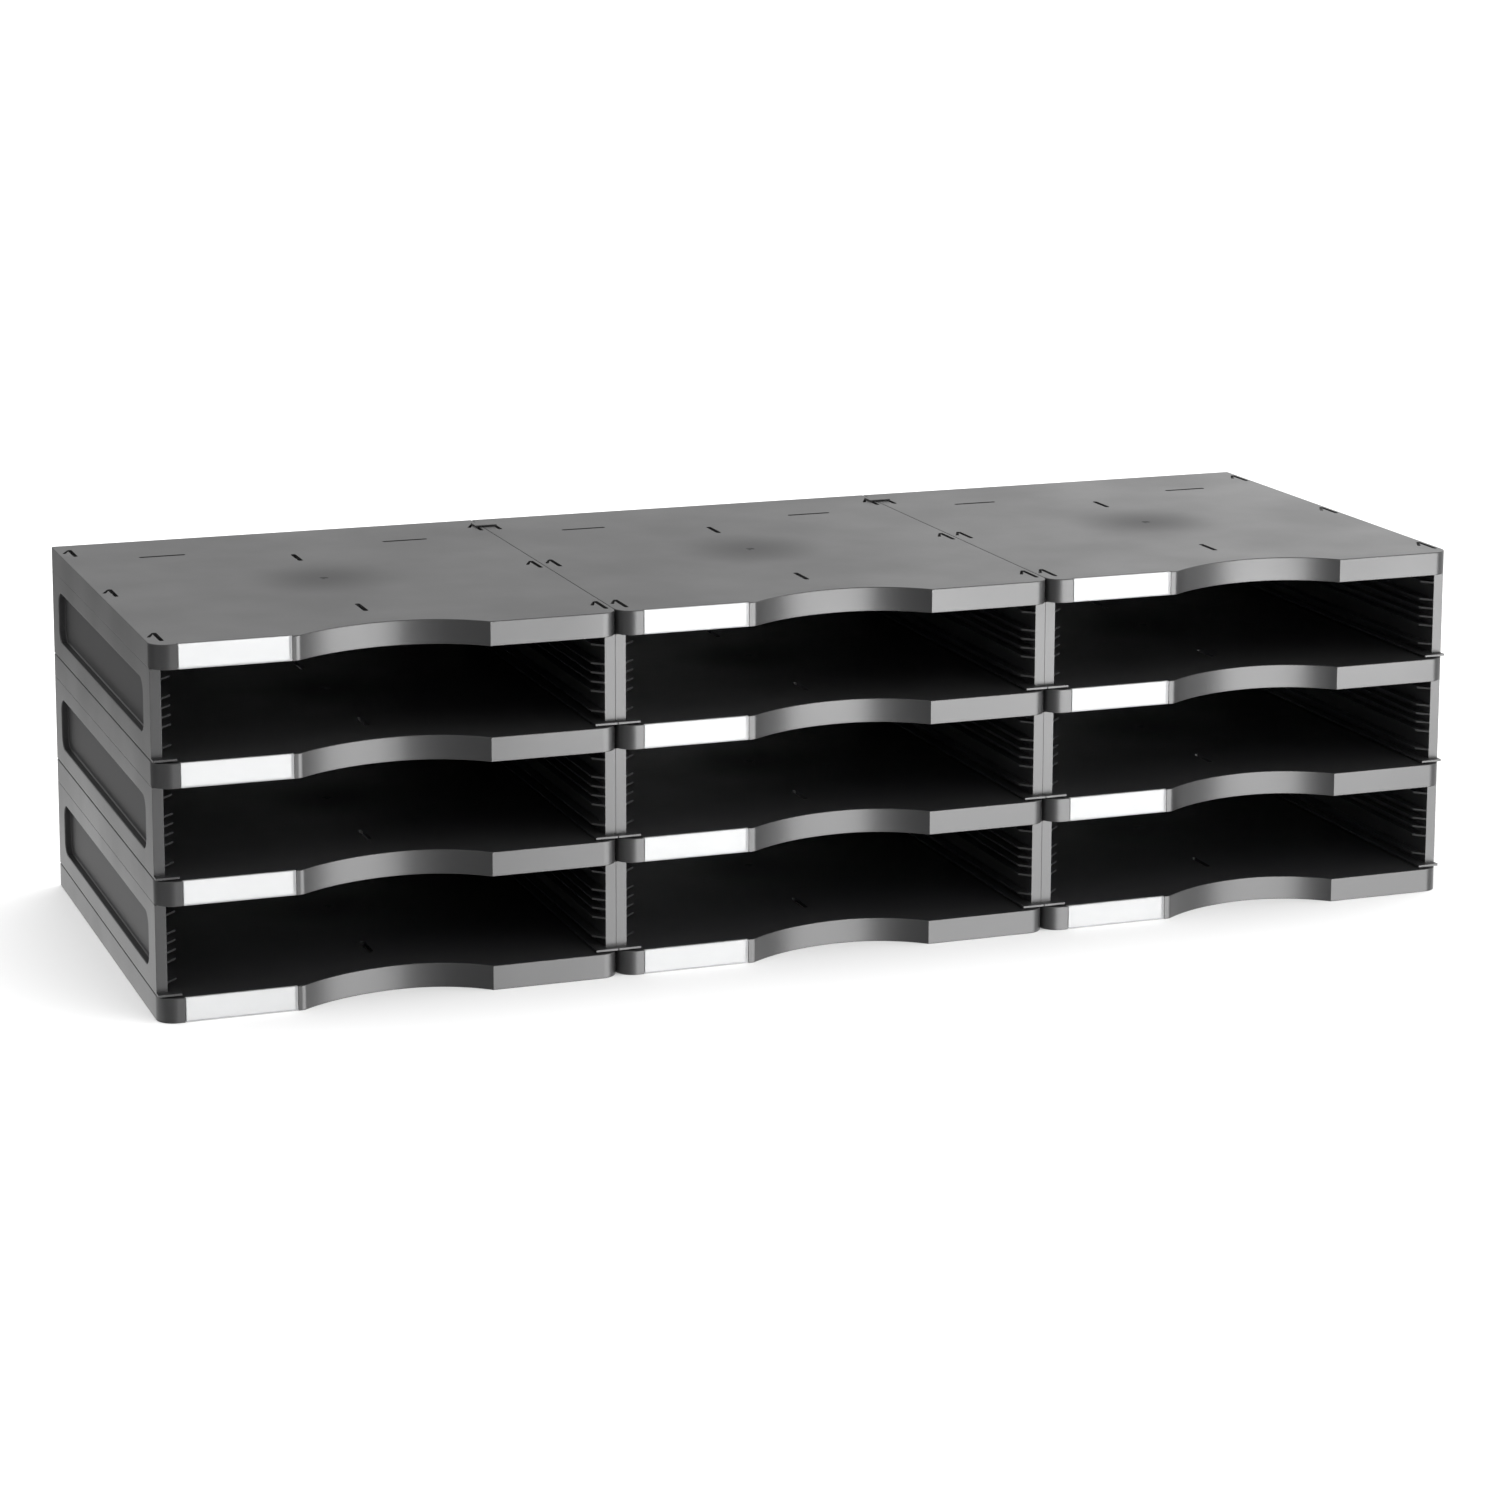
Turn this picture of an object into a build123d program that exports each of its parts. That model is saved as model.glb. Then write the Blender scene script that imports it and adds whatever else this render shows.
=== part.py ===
"""Document organizer: three columns of open compartments built from clip-together plates and walls.

Millimetres, +Z up. The origin is under the middle of the organizer, on the surface it stands on.
X runs along the row of columns, -Y is the front.
"""

import math
import os

from build123d import *

# Row and stack
columns = ["left", "middle", "right"]
levels = ["base", "first", "second", "top"]
tiers = ["lower", "centre", "upper"]
seam_gap = 0.4
mouth_height = 58.7

# Shelf plate
plate_width = 299.6
depth = 335.0
skirt_height = 16.0
plate_top = 2.6
skirt_wall = 2.2
front_corner_radius = 9.0
rib_wall = 1.6
rib_height = 6.0
rib_count = 2
rib_clearance = 0.4

# Finger scoop in the plate's front edge, to the left and right of its deepest point
scoop_left_run = 70.0
scoop_right_run = 55.0
scoop_depth = 22.0
scoop_lead_radius = 6.0

# Hook slots along both sides: front, middle and back
front_slot_y = 25.0
slot_width = 2.6
slot_skirt_gap = 0.4
leg_skirt_gap = 1.1
slot_length = 25.0
hook_leg_x = 6.0
hook_leg_y = 11.0
hook_leg_width = 3.4

# Slits on the plate's top
front_slit_y = 69.0
rear_slit_inset = 93.0
centre_slit_length = 22.0
back_slit_inset = 58.0
back_slit_offset = 85.0
back_slit_length = 32.0
slit_width = 2.4

# Label seat, clear window and card
window_margin = 4.0
window_length = 75.0
window_clearance = 0.2
window_sheet = 0.8
window_floor = 0.8
window_end_wall = 3.75
label_lip = 2.0
card_thickness = 0.35
card_play = 0.125
card_clearance = 0.3
card_top_gap = 0.6

# Side wall
wall_thickness = 7.0
wall_setback = 8.0
wall_back_inset = 1.0
panel_web = 2.3
panel_bottom_frame = 13.0
panel_top_frame = 10.8
panel_front_frame = 21.0
panel_back_frame = 21.0
panel_corner = 6.0
guide_reach = 7.0
guide_lead = 7.0
guide_thickness = 1.2
lowest_guide = 8.4
highest_guide_drop = 7.0
guide_lift = 1.1
guide_offsets = [-9.1, -3.0, 3.0, 9.1]
foot_gap = 0.9
foot_thickness = 1.4
foot_reach = 8.0
toe_inset = 2.5
toe_corner = 4.0
pad_margin = 2.0
tenon_clearance = 0.2
tenon_reach = 2.5
tongue_clearance = 0.3
tongue_end_inset = 6.0

# Back panel
back_thickness = 2.5
back_inset = 11.0
back_clearance = 0.3
back_rib_wall = 2.4
back_rib_reach = 6.0
back_field_margin = 12.0
back_field_depth = 0.8

# Link clip
clip_length = 12.0
clip_thickness = 1.2
clip_clearance = 0.25
clip_reach = 3.4

# Derived places
column_pitch = plate_width + seam_gap
level_pitch = skirt_height + mouth_height
left_end = -plate_width / 2
right_end = plate_width / 2
front = -depth / 2
rear = depth / 2
hollow_height = skirt_height - plate_top
rise = hollow_height - rib_height - rib_clearance
wall_outer = left_end
wall_inner = wall_outer + wall_thickness
back_panel_front = rear - back_inset - back_thickness
guide_end = back_panel_front - back_clearance
window_depth = 2 * window_sheet + card_thickness + 2 * card_play
window_start = front_corner_radius + window_margin
window_end = window_start + window_length
left_slot_x = skirt_wall + leg_skirt_gap + hook_leg_x
right_slot_x = skirt_wall + slot_skirt_gap + slot_width / 2

# Scoop: a lead-in arc tangent to the front edge, then two arcs that meet at the deepest point
scoop_start = window_end + label_lip
scoop_deepest = scoop_start + scoop_left_run
scoop_end = scoop_deepest + scoop_right_run
scoop_left_radius = (scoop_left_run**2 + scoop_depth**2) / (2 * scoop_depth) - scoop_lead_radius
scoop_right_radius = (scoop_right_run**2 + scoop_depth**2) / (2 * scoop_depth)
scoop_turn = math.atan2(scoop_left_run, scoop_left_radius + scoop_lead_radius - scoop_depth)


def at(from_left, from_front):
    """A plan point measured from the plate's left end and its front line."""
    return (left_end + from_left, front + from_front)


def arc_point(from_left, radius):
    """The point of a scoop arc of this radius, whose deepest point is the scoop's, at this place."""
    return at(from_left, scoop_depth - radius + math.sqrt(radius**2 - (from_left - scoop_deepest) ** 2))


lead_end = at(
    scoop_start + scoop_lead_radius * math.sin(scoop_turn),
    scoop_lead_radius * (1 - math.cos(scoop_turn)),
)
lead_middle = at(
    scoop_start + scoop_lead_radius * math.sin(scoop_turn / 2),
    scoop_lead_radius * (1 - math.cos(scoop_turn / 2)),
)
deepest_point = at(scoop_deepest, scoop_depth)
left_arc_middle = arc_point((lead_end[0] - left_end + scoop_deepest) / 2, scoop_left_radius)
right_arc_middle = arc_point((scoop_deepest + scoop_end) / 2, scoop_right_radius)
back_slot_y = guide_end - front - pad_margin - slot_length / 2
hook_slot_ys = [front_slot_y, (front_slot_y + back_slot_y) / 2, back_slot_y]
hook_slots = [at(left_slot_x, y) for y in hook_slot_ys]
hook_slots += [at(plate_width - right_slot_x, y) for y in hook_slot_ys]
clip_y = front + hook_slot_ys[-1] + (slot_length - clip_length) / 2

# Hook slot: a slit along the depth with a slanting pointed leg from its back end
with BuildSketch() as hook_slot:
    with BuildLine():
        Polyline(
            (slot_width / 2, -slot_length / 2),
            (slot_width / 2, slot_length / 2),
            (-slot_width / 2, slot_length / 2),
            (-hook_leg_x, slot_length / 2 - hook_leg_y),
            (-slot_width / 2, slot_length / 2 - hook_leg_width),
            (-slot_width / 2, -slot_length / 2),
            close=True,
        )
    make_face()

# Shelf plate
with BuildPart() as plate:
    with BuildSketch() as outline:
        with BuildLine():
            Polyline(
                at(front_corner_radius, 0),
                at(window_start, 0),
                at(window_start, window_depth),
                at(window_end, window_depth),
                at(window_end, 0),
                at(scoop_start, 0),
            )
            ThreePointArc(at(scoop_start, 0), lead_middle, lead_end)
            ThreePointArc(lead_end, left_arc_middle, deepest_point)
            ThreePointArc(deepest_point, right_arc_middle, at(scoop_end, 0))
            Line(at(scoop_end, 0), at(plate_width - front_corner_radius, 0))
            RadiusArc(
                at(plate_width - front_corner_radius, 0),
                at(plate_width, front_corner_radius),
                -front_corner_radius,
            )
            Polyline(
                at(plate_width, front_corner_radius),
                at(plate_width, depth),
                at(0, depth),
                at(0, front_corner_radius),
            )
            RadiusArc(at(0, front_corner_radius), at(front_corner_radius, 0), -front_corner_radius)
        make_face()
    extrude(amount=skirt_height)

    # Hollow under the top, with ribs across it
    with BuildSketch() as hollow:
        add(outline.sketch)
        offset(amount=-skirt_wall, kind=Kind.INTERSECTION)
    extrude(amount=hollow_height, mode=Mode.SUBTRACT)
    with BuildSketch(Plane.XY.offset(hollow_height - rib_height)):
        with GridLocations(0, depth / (rib_count + 1), 1, rib_count):
            Rectangle(plate_width, rib_wall)
        add(hollow.sketch, mode=Mode.INTERSECT)
    extrude(amount=rib_height)

    # Hook slots and plain slits through the top
    with BuildSketch(Plane.XY.offset(skirt_height)):
        with Locations(*hook_slots):
            add(hook_slot.sketch)
        with Locations((0, front + front_slit_y), (0, rear - rear_slit_inset)):
            Rectangle(slit_width, centre_slit_length)
        with Locations((0, rear - back_slit_inset)):
            with GridLocations(2 * back_slit_offset, 0, 2, 1):
                Rectangle(back_slit_length, slit_width)
    extrude(amount=-plate_top, mode=Mode.SUBTRACT)

# Side wall without its tenons, on the left of a compartment, standing on z = 0
wall_front = front + wall_setback
wall_back = rear - wall_back_inset
panel_width = wall_back - wall_front - panel_front_frame - panel_back_frame
panel_height = mouth_height - panel_bottom_frame - panel_top_frame
panel_y = (wall_front + panel_front_frame + wall_back - panel_back_frame) / 2
panel_z = (panel_bottom_frame + mouth_height - panel_top_frame) / 2
guide_middle = mouth_height / 2 + guide_lift
guide_heights = [lowest_guide, mouth_height - highest_guide_drop]
guide_heights += [guide_middle + offset_from_middle for offset_from_middle in guide_offsets]

with BuildPart() as wall:
    with BuildSketch(Plane.YZ.offset(wall_outer)):
        with Locations(((wall_front + wall_back) / 2, (foot_gap + mouth_height) / 2)):
            Rectangle(wall_back - wall_front, mouth_height - foot_gap)
    extrude(amount=wall_thickness)
    with BuildSketch(Plane.YZ.offset(wall_outer)):
        with Locations((panel_y, panel_z)):
            sunk_panel = Rectangle(panel_width, panel_height)
        chamfer(sunk_panel.vertices(), length=panel_corner)
    extrude(amount=wall_thickness - panel_web, mode=Mode.SUBTRACT)

    # Guide ledges with a slanted lead-in at the front, and the foot flange with its toe in front of the wall
    for height in guide_heights:
        with BuildSketch(Plane.XY.offset(height - guide_thickness / 2)):
            with BuildLine():
                Polyline(
                    (wall_inner, wall_front),
                    (wall_inner + guide_reach, wall_front + guide_lead),
                    (wall_inner + guide_reach, guide_end),
                    (wall_inner, guide_end),
                    close=True,
                )
            make_face()
        extrude(amount=guide_thickness)
    with BuildSketch(Plane.XY.offset(foot_gap)):
        with Locations((wall_inner + foot_reach / 2, (wall_front + guide_end) / 2)):
            Rectangle(foot_reach, guide_end - wall_front)
        with BuildLine():
            Polyline(
                (wall_inner + foot_reach, wall_front),
                (wall_outer + toe_inset, wall_front),
                (wall_outer + toe_inset, front + toe_inset + toe_corner),
                (wall_outer + toe_inset + toe_corner, front + toe_inset),
                (wall_inner + foot_reach, front + toe_inset),
                close=True,
            )
        make_face()
    extrude(amount=foot_thickness)

    # Tongue inside the skirt above, and the rib that holds the back panel from behind
    tongue_start = left_end + skirt_wall + tongue_clearance
    tongue_length = depth - 2 * (wall_setback + tongue_end_inset)
    with BuildSketch(Plane.XY.offset(mouth_height)):
        with Locations(((tongue_start + wall_inner) / 2, 0)):
            Rectangle(wall_inner - tongue_start, tongue_length)
    extrude(amount=rise)
    back_rib_y = rear - back_inset + back_clearance + back_rib_wall / 2
    with BuildSketch(Plane.XY.offset(foot_gap)):
        with Locations((wall_inner + back_rib_reach / 2, back_rib_y)):
            Rectangle(back_rib_reach, back_rib_wall)
    extrude(amount=mouth_height - foot_gap)


# Both hands of the wall, with a pad under the foot and tenons that go through the plate below
pad_width = wall_thickness + foot_reach - 2 * pad_margin
pad_length = guide_end - wall_front - pad_margin
pad_x = wall_outer + pad_margin + pad_width / 2
tenon_xs = {"left": left_end + left_slot_x, "right": right_end - right_slot_x}
pad_xs = {"left": pad_x, "right": -pad_x}
hands = {}
for hand in ("left", "right"):
    with BuildPart() as hands[hand]:
        if hand == "left":
            add(wall.part)
        else:
            mirror(wall.part, about=Plane.YZ)
        with BuildSketch():
            with Locations((pad_xs[hand], guide_end - pad_length / 2)):
                Rectangle(pad_width, pad_length)
        extrude(amount=foot_gap)
        with BuildSketch(Plane.XY.offset(foot_gap)):
            with Locations(*[(tenon_xs[hand], front + y) for y in hook_slot_ys]):
                Rectangle(slot_width - 2 * tenon_clearance, slot_length - 2 * tenon_clearance)
        extrude(amount=-(foot_gap + plate_top + tenon_reach))

# Back panel between the walls, with a sunk field on its outer side
back_width = 2 * (-wall_inner - back_clearance)
back_height = mouth_height + rise
with BuildPart() as back:
    with BuildSketch(Plane.XZ.offset(-back_panel_front)):
        with Locations((0, back_height / 2)):
            Rectangle(back_width, back_height)
    extrude(amount=-back_thickness)
    with BuildSketch(Plane.XZ.offset(-back_panel_front - back_thickness)):
        with Locations((0, mouth_height / 2)):
            Rectangle(
                back_width - 2 * (back_rib_reach + back_field_margin),
                mouth_height - 2 * back_field_margin,
            )
    extrude(amount=back_field_depth, mode=Mode.SUBTRACT)

# Label window: a clear strip in the plate's seat with a pocket that is open at the top
window_x = left_end + window_start + window_length / 2
window_width = window_length - 2 * window_clearance
window_height = skirt_height - 2 * window_clearance
pocket_length = window_width - 2 * window_end_wall
pocket_thickness = card_thickness + 2 * card_play
card_y = front + window_depth / 2
card_floor = window_clearance + window_floor
with BuildPart() as window:
    with BuildSketch(Plane.XY.offset(window_clearance)):
        with Locations((window_x, card_y)):
            Rectangle(window_width, window_depth)
    extrude(amount=window_height)
    with BuildSketch(Plane.XY.offset(card_floor)):
        with Locations((window_x, card_y)):
            Rectangle(pocket_length, pocket_thickness)
    extrude(amount=skirt_height, mode=Mode.SUBTRACT)

# Label card standing on the pocket's floor
with BuildPart() as card:
    with BuildSketch(Plane.XY.offset(card_floor)):
        with Locations((window_x, card_y)):
            Rectangle(pocket_length - 2 * card_clearance, card_thickness)
    extrude(amount=skirt_height - card_floor - card_top_gap)

# Link clip: a flat bridge over a seam with a leg down each facing slot
with BuildPart() as clip:
    leg_left = -seam_gap / 2 - right_slot_x
    leg_right = seam_gap / 2 + left_slot_x
    leg_wall = slot_width - 2 * clip_clearance
    with BuildSketch(Plane.XY.offset(skirt_height)):
        with Locations(((leg_left + leg_right) / 2, clip_y)):
            Rectangle(leg_right - leg_left + leg_wall, clip_length)
    extrude(amount=clip_thickness)
    with BuildSketch(Plane.XY.offset(skirt_height)):
        with Locations((leg_left, clip_y), (leg_right, clip_y)):
            Rectangle(leg_wall, clip_length)
    extrude(amount=-(plate_top + clip_reach))


def place(piece, name, *spots):
    """Write copies of a piece at these spots as one named sub-part."""
    with BuildPart() as placed:
        with Locations(*spots):
            add(piece.part)
    placed.part.label = name
    export_step(placed.part, f"parts/{name}.step")


os.makedirs("parts", exist_ok=True)
column_xs = [(index - (len(columns) - 1) / 2) * column_pitch for index in range(len(columns))]
level_zs = [index * level_pitch for index in range(len(levels))]
for column, x in zip(columns, column_xs):
    for level, z in zip(levels, level_zs):
        place(plate, f"{column}_{level}_plate", (x, 0, z))
        place(card, f"{column}_{level}_label_card", (x, 0, z))
    for tier, z in zip(tiers, level_zs):
        floor = z + skirt_height
        for hand, side_wall in hands.items():
            place(side_wall, f"{column}_{tier}_wall_{hand}", (x, 0, floor))
        place(back, f"{column}_{tier}_back_panel", (x, 0, floor))
    place(window, f"{column}_label_windows", *[(x, 0, z) for z in level_zs])
for left_column, x in zip(columns[:-1], column_xs[:-1]):
    place(clip, f"{left_column}_seam_link_clip", (x + column_pitch / 2, 0, level_zs[-1]))
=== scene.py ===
"""Document organizer: the dressed shelf plates, walls, labels and clips, and the stage they are shown on.

The file is laid out as an add-on and run as a script. Everything is in metres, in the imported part's frame.
"""

import math

import bmesh
import bpy
from bpy.props import FloatProperty, FloatVectorProperty, IntProperty, PointerProperty
from mathutils import Matrix, Vector
from mathutils.geometry import tessellate_polygon


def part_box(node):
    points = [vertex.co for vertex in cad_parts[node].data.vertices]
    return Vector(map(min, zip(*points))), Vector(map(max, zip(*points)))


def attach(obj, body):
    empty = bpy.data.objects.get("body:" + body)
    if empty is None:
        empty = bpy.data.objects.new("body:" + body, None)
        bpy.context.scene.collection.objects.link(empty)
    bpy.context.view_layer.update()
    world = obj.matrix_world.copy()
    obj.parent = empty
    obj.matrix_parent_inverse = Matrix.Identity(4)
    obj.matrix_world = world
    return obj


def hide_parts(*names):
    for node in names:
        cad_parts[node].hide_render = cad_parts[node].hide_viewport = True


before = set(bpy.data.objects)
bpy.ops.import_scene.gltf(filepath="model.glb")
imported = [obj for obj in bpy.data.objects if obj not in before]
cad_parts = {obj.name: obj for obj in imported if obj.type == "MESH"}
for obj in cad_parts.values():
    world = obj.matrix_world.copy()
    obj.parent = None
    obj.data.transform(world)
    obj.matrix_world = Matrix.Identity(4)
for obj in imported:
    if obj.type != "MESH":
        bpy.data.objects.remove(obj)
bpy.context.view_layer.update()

bl_info = {
    "name": "Document organizer",
    "version": (1, 0, 0),
    "blender": (4, 5, 0),
    "location": "3D View > Sidebar > Organizer",
    "description": "Builds the dressed document organizer around its packed frame",
    "category": "Object",
}

COLUMNS = ("left", "middle", "right")
LEVELS = ("base", "first", "second", "top")
TIERS = ("lower", "centre", "upper")
HANDS = ("left", "right")
SEAMS = ("left", "middle")
BODY = "organizer"
UP = Vector((0, 0, 1))
SMOOTH_ANGLE = math.radians(35)
WELD_DISTANCE = 1e-7

# Places that the frame gives
PLATE_LOW, PLATE_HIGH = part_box("middle_base_plate")
WALL_LOW, WALL_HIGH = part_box("middle_lower_wall_left")
BACK_LOW, BACK_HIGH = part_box("middle_lower_back_panel")
WINDOW_LOW, WINDOW_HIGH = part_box("middle_label_windows")
CARD_LOW, CARD_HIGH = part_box("middle_base_label_card")
LEFT, RIGHT = PLATE_LOW.x, PLATE_HIGH.x
FRONT, REAR = PLATE_LOW.y, PLATE_HIGH.y
PLATE_WIDTH = RIGHT - LEFT
SKIRT_HEIGHT = PLATE_HIGH.z
LEVEL_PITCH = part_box("middle_first_plate")[0].z
COLUMN_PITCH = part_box("right_base_plate")[0].x - LEFT
ROW_HALF = COLUMN_PITCH - LEFT
MOUTH_HEIGHT = LEVEL_PITCH - SKIRT_HEIGHT
COLUMN_XS = {column: sum(corner.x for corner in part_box(f"{column}_base_plate")) / 2 for column in COLUMNS}
LEVEL_ZS = {level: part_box(f"left_{level}_plate")[0].z for level in LEVELS}
FLOOR_ZS = {tier: LEVEL_ZS[level] + SKIRT_HEIGHT for tier, level in zip(TIERS, LEVELS)}


def length(name, description, default):
    """A size in metres that a user can change."""
    return FloatProperty(
        name=name,
        description=description,
        default=default,
        min=0.0,
        precision=5,
        subtype="DISTANCE",
        unit="LENGTH",
    )


def share(name, description, default):
    """A number from 0 to 1 that a user can change."""
    return FloatProperty(
        name=name, description=description, default=default, min=0.0, max=1.0, subtype="FACTOR"
    )


def brightness(name, description, default):
    """A strength of light that a user can change."""
    return FloatProperty(name=name, description=description, default=default, min=0.0)


def colour(name, description, default):
    """A linear colour that a user can change."""
    return FloatVectorProperty(
        name=name, description=description, default=default, size=3, min=0.0, max=1.0, subtype="COLOR"
    )


class PlateSizes(bpy.types.PropertyGroup):
    """Sizes of the shelf plate."""

    top_thickness: length("Top thickness", "Thickness of the plate's flat top", 0.0026)
    skirt_wall: length("Skirt wall", "Thickness of the skirt all round", 0.0022)
    left_corner_radius: length("Left corner radius", "Radius of the left front corner in plan", 0.012)
    right_corner_radius: length("Right corner radius", "Radius of the right front corner in plan", 0.011)
    back_corner_radius: length("Back corner radius", "Radius of the two back corners in plan", 0.0012)
    edge_radius: length("Edge radius", "Rounding of the moulded edges", 0.00045)
    label_margin: length("Label margin", "From the corner's end to the label seat", 0.0042)
    label_length: length("Label length", "Length of the sunk label seat", 0.0718)
    label_depth: length("Label depth", "Depth of the sunk label seat", 0.0022)
    label_lip: length("Label lip", "From the label seat to the scoop", 0.002)
    scoop_left_run: length("Scoop left run", "From the scoop's start to its deepest point", 0.070)
    scoop_right_run: length("Scoop right run", "From the deepest point to the sharp corner", 0.055)
    scoop_depth: length("Scoop depth", "Depth of the finger scoop", 0.022)
    scoop_lead: length("Scoop lead radius", "Radius of the arc that leads into the scoop", 0.006)
    slot_width: length("Slot width", "Width of the hook slots", 0.0029)
    slot_length: length("Slot length", "Length of the hook slots", 0.025)
    slot_leg_side: length("Slot leg side", "How far the slanted leg runs to the side", 0.0056)
    slot_leg_front: length("Slot leg front", "How far the slanted leg runs to the front", 0.0118)
    left_slot: length("Left slot", "From the plate's left end to its left hook slots", 0.0093)
    right_slot: length("Right slot", "From the plate's right end to its right hook slots", 0.0039)
    front_slot: length("Front slot", "From the front line to the middle of the front slots", 0.025)
    back_slot: length("Back slot", "From the front line to the middle of the back slots", 0.3067)
    slit_width: length("Slit width", "Width of the plain slits", 0.0034)
    centre_slit_length: length("Centre slit length", "Length of the two slits on the centre line", 0.024)
    front_slit: length("Front slit", "From the front line to the front centre slit", 0.069)
    rear_slit: length("Rear slit", "From the back edge to the rear centre slit", 0.093)
    back_slit: length("Back slit", "From the back edge to the two cross slits", 0.058)
    back_slit_offset: length("Back slit offset", "From the centre line to each cross slit", 0.085)
    back_slit_length: length("Back slit length", "Length of the cross slits", 0.032)
    gate_radius: length("Gate radius", "Radius of the moulding mark in the middle of the top", 0.0032)
    gate_depth: length("Gate depth", "Depth of the moulding mark", 0.0005)
    rib_wall: length("Rib wall", "Thickness of the ribs underneath", 0.0016)
    rib_height: length("Rib height", "Height of the ribs underneath", 0.006)
    rib_count: IntProperty(name="Rib count", description="Ribs across the underside", default=2, min=0)


class WallSizes(bpy.types.PropertyGroup):
    """Sizes of the side wall and the back panel."""

    setback: length("Setback", "From the plate's front line to the wall's front", 0.008)
    thickness: length("Thickness", "Thickness of the wall's frame", 0.007)
    recess: length("Recess", "Depth of the sunk panel", 0.0047)
    front_frame: length("Front frame", "Width of the frame at the front", 0.021)
    back_frame: length("Back frame", "Width of the frame at the back", 0.021)
    bottom_frame: length("Bottom frame", "Height of the frame at the bottom", 0.013)
    top_frame: length("Top frame", "Height of the frame at the top", 0.0108)
    panel_radius: length("Panel radius", "Corner radius of the sunk panel", 0.009)
    edge_radius: length("Edge radius", "Rounding of the moulded edges", 0.00012)
    rim_radius: length("Rim radius", "Rounding of the sunk panel's rim", 0.0006)
    guide_reach: length("Guide reach", "How far the guide ledges stand out", 0.007)
    guide_thickness: length("Guide thickness", "Thickness of the guide ledges", 0.0012)
    guide_lead: length("Guide lead", "Length of the ledges' slanted front ends", 0.0069)
    guide_end_gap: length("Guide end gap", "From the ledges' back ends to the back panel", 0.0003)
    lowest_guide: length("Lowest guide", "Height of the lowest ledge", 0.0084)
    highest_guide_drop: length("Highest guide drop", "From the top to the highest ledge", 0.007)
    guide_lift: length("Guide lift", "From the wall's middle to the middle of the four inner ledges", 0.0011)
    guide_near: length("Near guides", "From that middle to the two near ledges", 0.003)
    guide_far: length("Far guides", "From that middle to the two far ledges", 0.0091)
    foot_gap: length("Foot gap", "Gap under the foot flange", 0.0009)
    foot_thickness: length("Foot thickness", "Thickness of the foot flange", 0.0014)
    toe_corner: length("Toe corner", "Slanted corner of the flange's toe in front of the wall", 0.0003)
    seam_lean: length("Seam lean", "How far the walls at a seam stand towards each other", 0.00014)
    pad_margin: length("Pad margin", "From the flange's edge to the pad under it", 0.002)
    tenon_clearance: length("Tenon clearance", "Gap round the tenons in their slots", 0.0002)
    tongue_gap: length("Tongue gap", "Gap between the tongue and the skirt above", 0.0003)
    tongue_inset: length("Tongue inset", "From the wall's front to the tongue", 0.006)
    back_rib: length("Back rib", "Thickness of the rib behind the back panel", 0.0024)
    back_rib_reach: length("Back rib reach", "Reach of the rib behind the back panel", 0.006)
    back_field_side: length("Back field side", "From the panel's ends to its sunk field", 0.018)
    back_field_edge: length("Back field edge", "From the mouth's edges to the sunk field", 0.012)
    back_field_depth: length("Back field depth", "Depth of the back panel's sunk field", 0.0008)
    back_field_radius: length("Back field radius", "Corner radius of the sunk field", 0.006)


class LabelSizes(bpy.types.PropertyGroup):
    """Sizes of the clear label windows, the cards and the link clips."""

    clearance: length("Clearance", "Gap between the window and its seat", 0.0002)
    floor: length("Floor", "Thickness under the card", 0.0008)
    sheet: length("Sheet", "Thickness in front of and behind the card", 0.0008)
    left_wall: length("Left wall", "Solid clear length left of the card", 0.0004)
    right_wall: length("Right wall", "Solid clear length right of the card", 0.0016)
    card_play: length("Card play", "Gap at the card's ends", 0.0002)
    edge_radius: length("Edge radius", "Rounding of the clear edges", 0.00018)
    card_corner: length("Card corner", "Corner radius of the card", 0.0006)
    clip_bridge: length("Clip bridge", "Thickness of the link clip's bridge", 0.0012)
    clip_leg: length("Clip leg", "Thickness of the link clip's legs", 0.0021)


class FinishLook(bpy.types.PropertyGroup):
    """Colours and gloss of the three finishes."""

    plastic: colour("Plastic", "Body of the dark moulded plastic", (0.017, 0.017, 0.0175))
    plastic_worn: colour("Worn plastic", "Rubbed edges and scuffs of the plastic", (0.045, 0.045, 0.046))
    plastic_roughness: share("Plastic roughness", "Mean roughness of the plastic", 0.34)
    matt_roughness: share("Matt roughness", "Roughness of the sunk panels and round the moulding marks", 0.55)
    blush_radius: length("Blush radius", "Radius of the dull patch round each moulding mark", 0.062)
    card: colour("Card", "White of the label cards", (0.61, 0.61, 0.605))
    card_shade: colour("Card shade", "Fibres in the label cards", (0.55, 0.55, 0.54))
    clear: colour("Clear", "Tint of the clear windows", (0.93, 0.94, 0.95))


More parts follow.
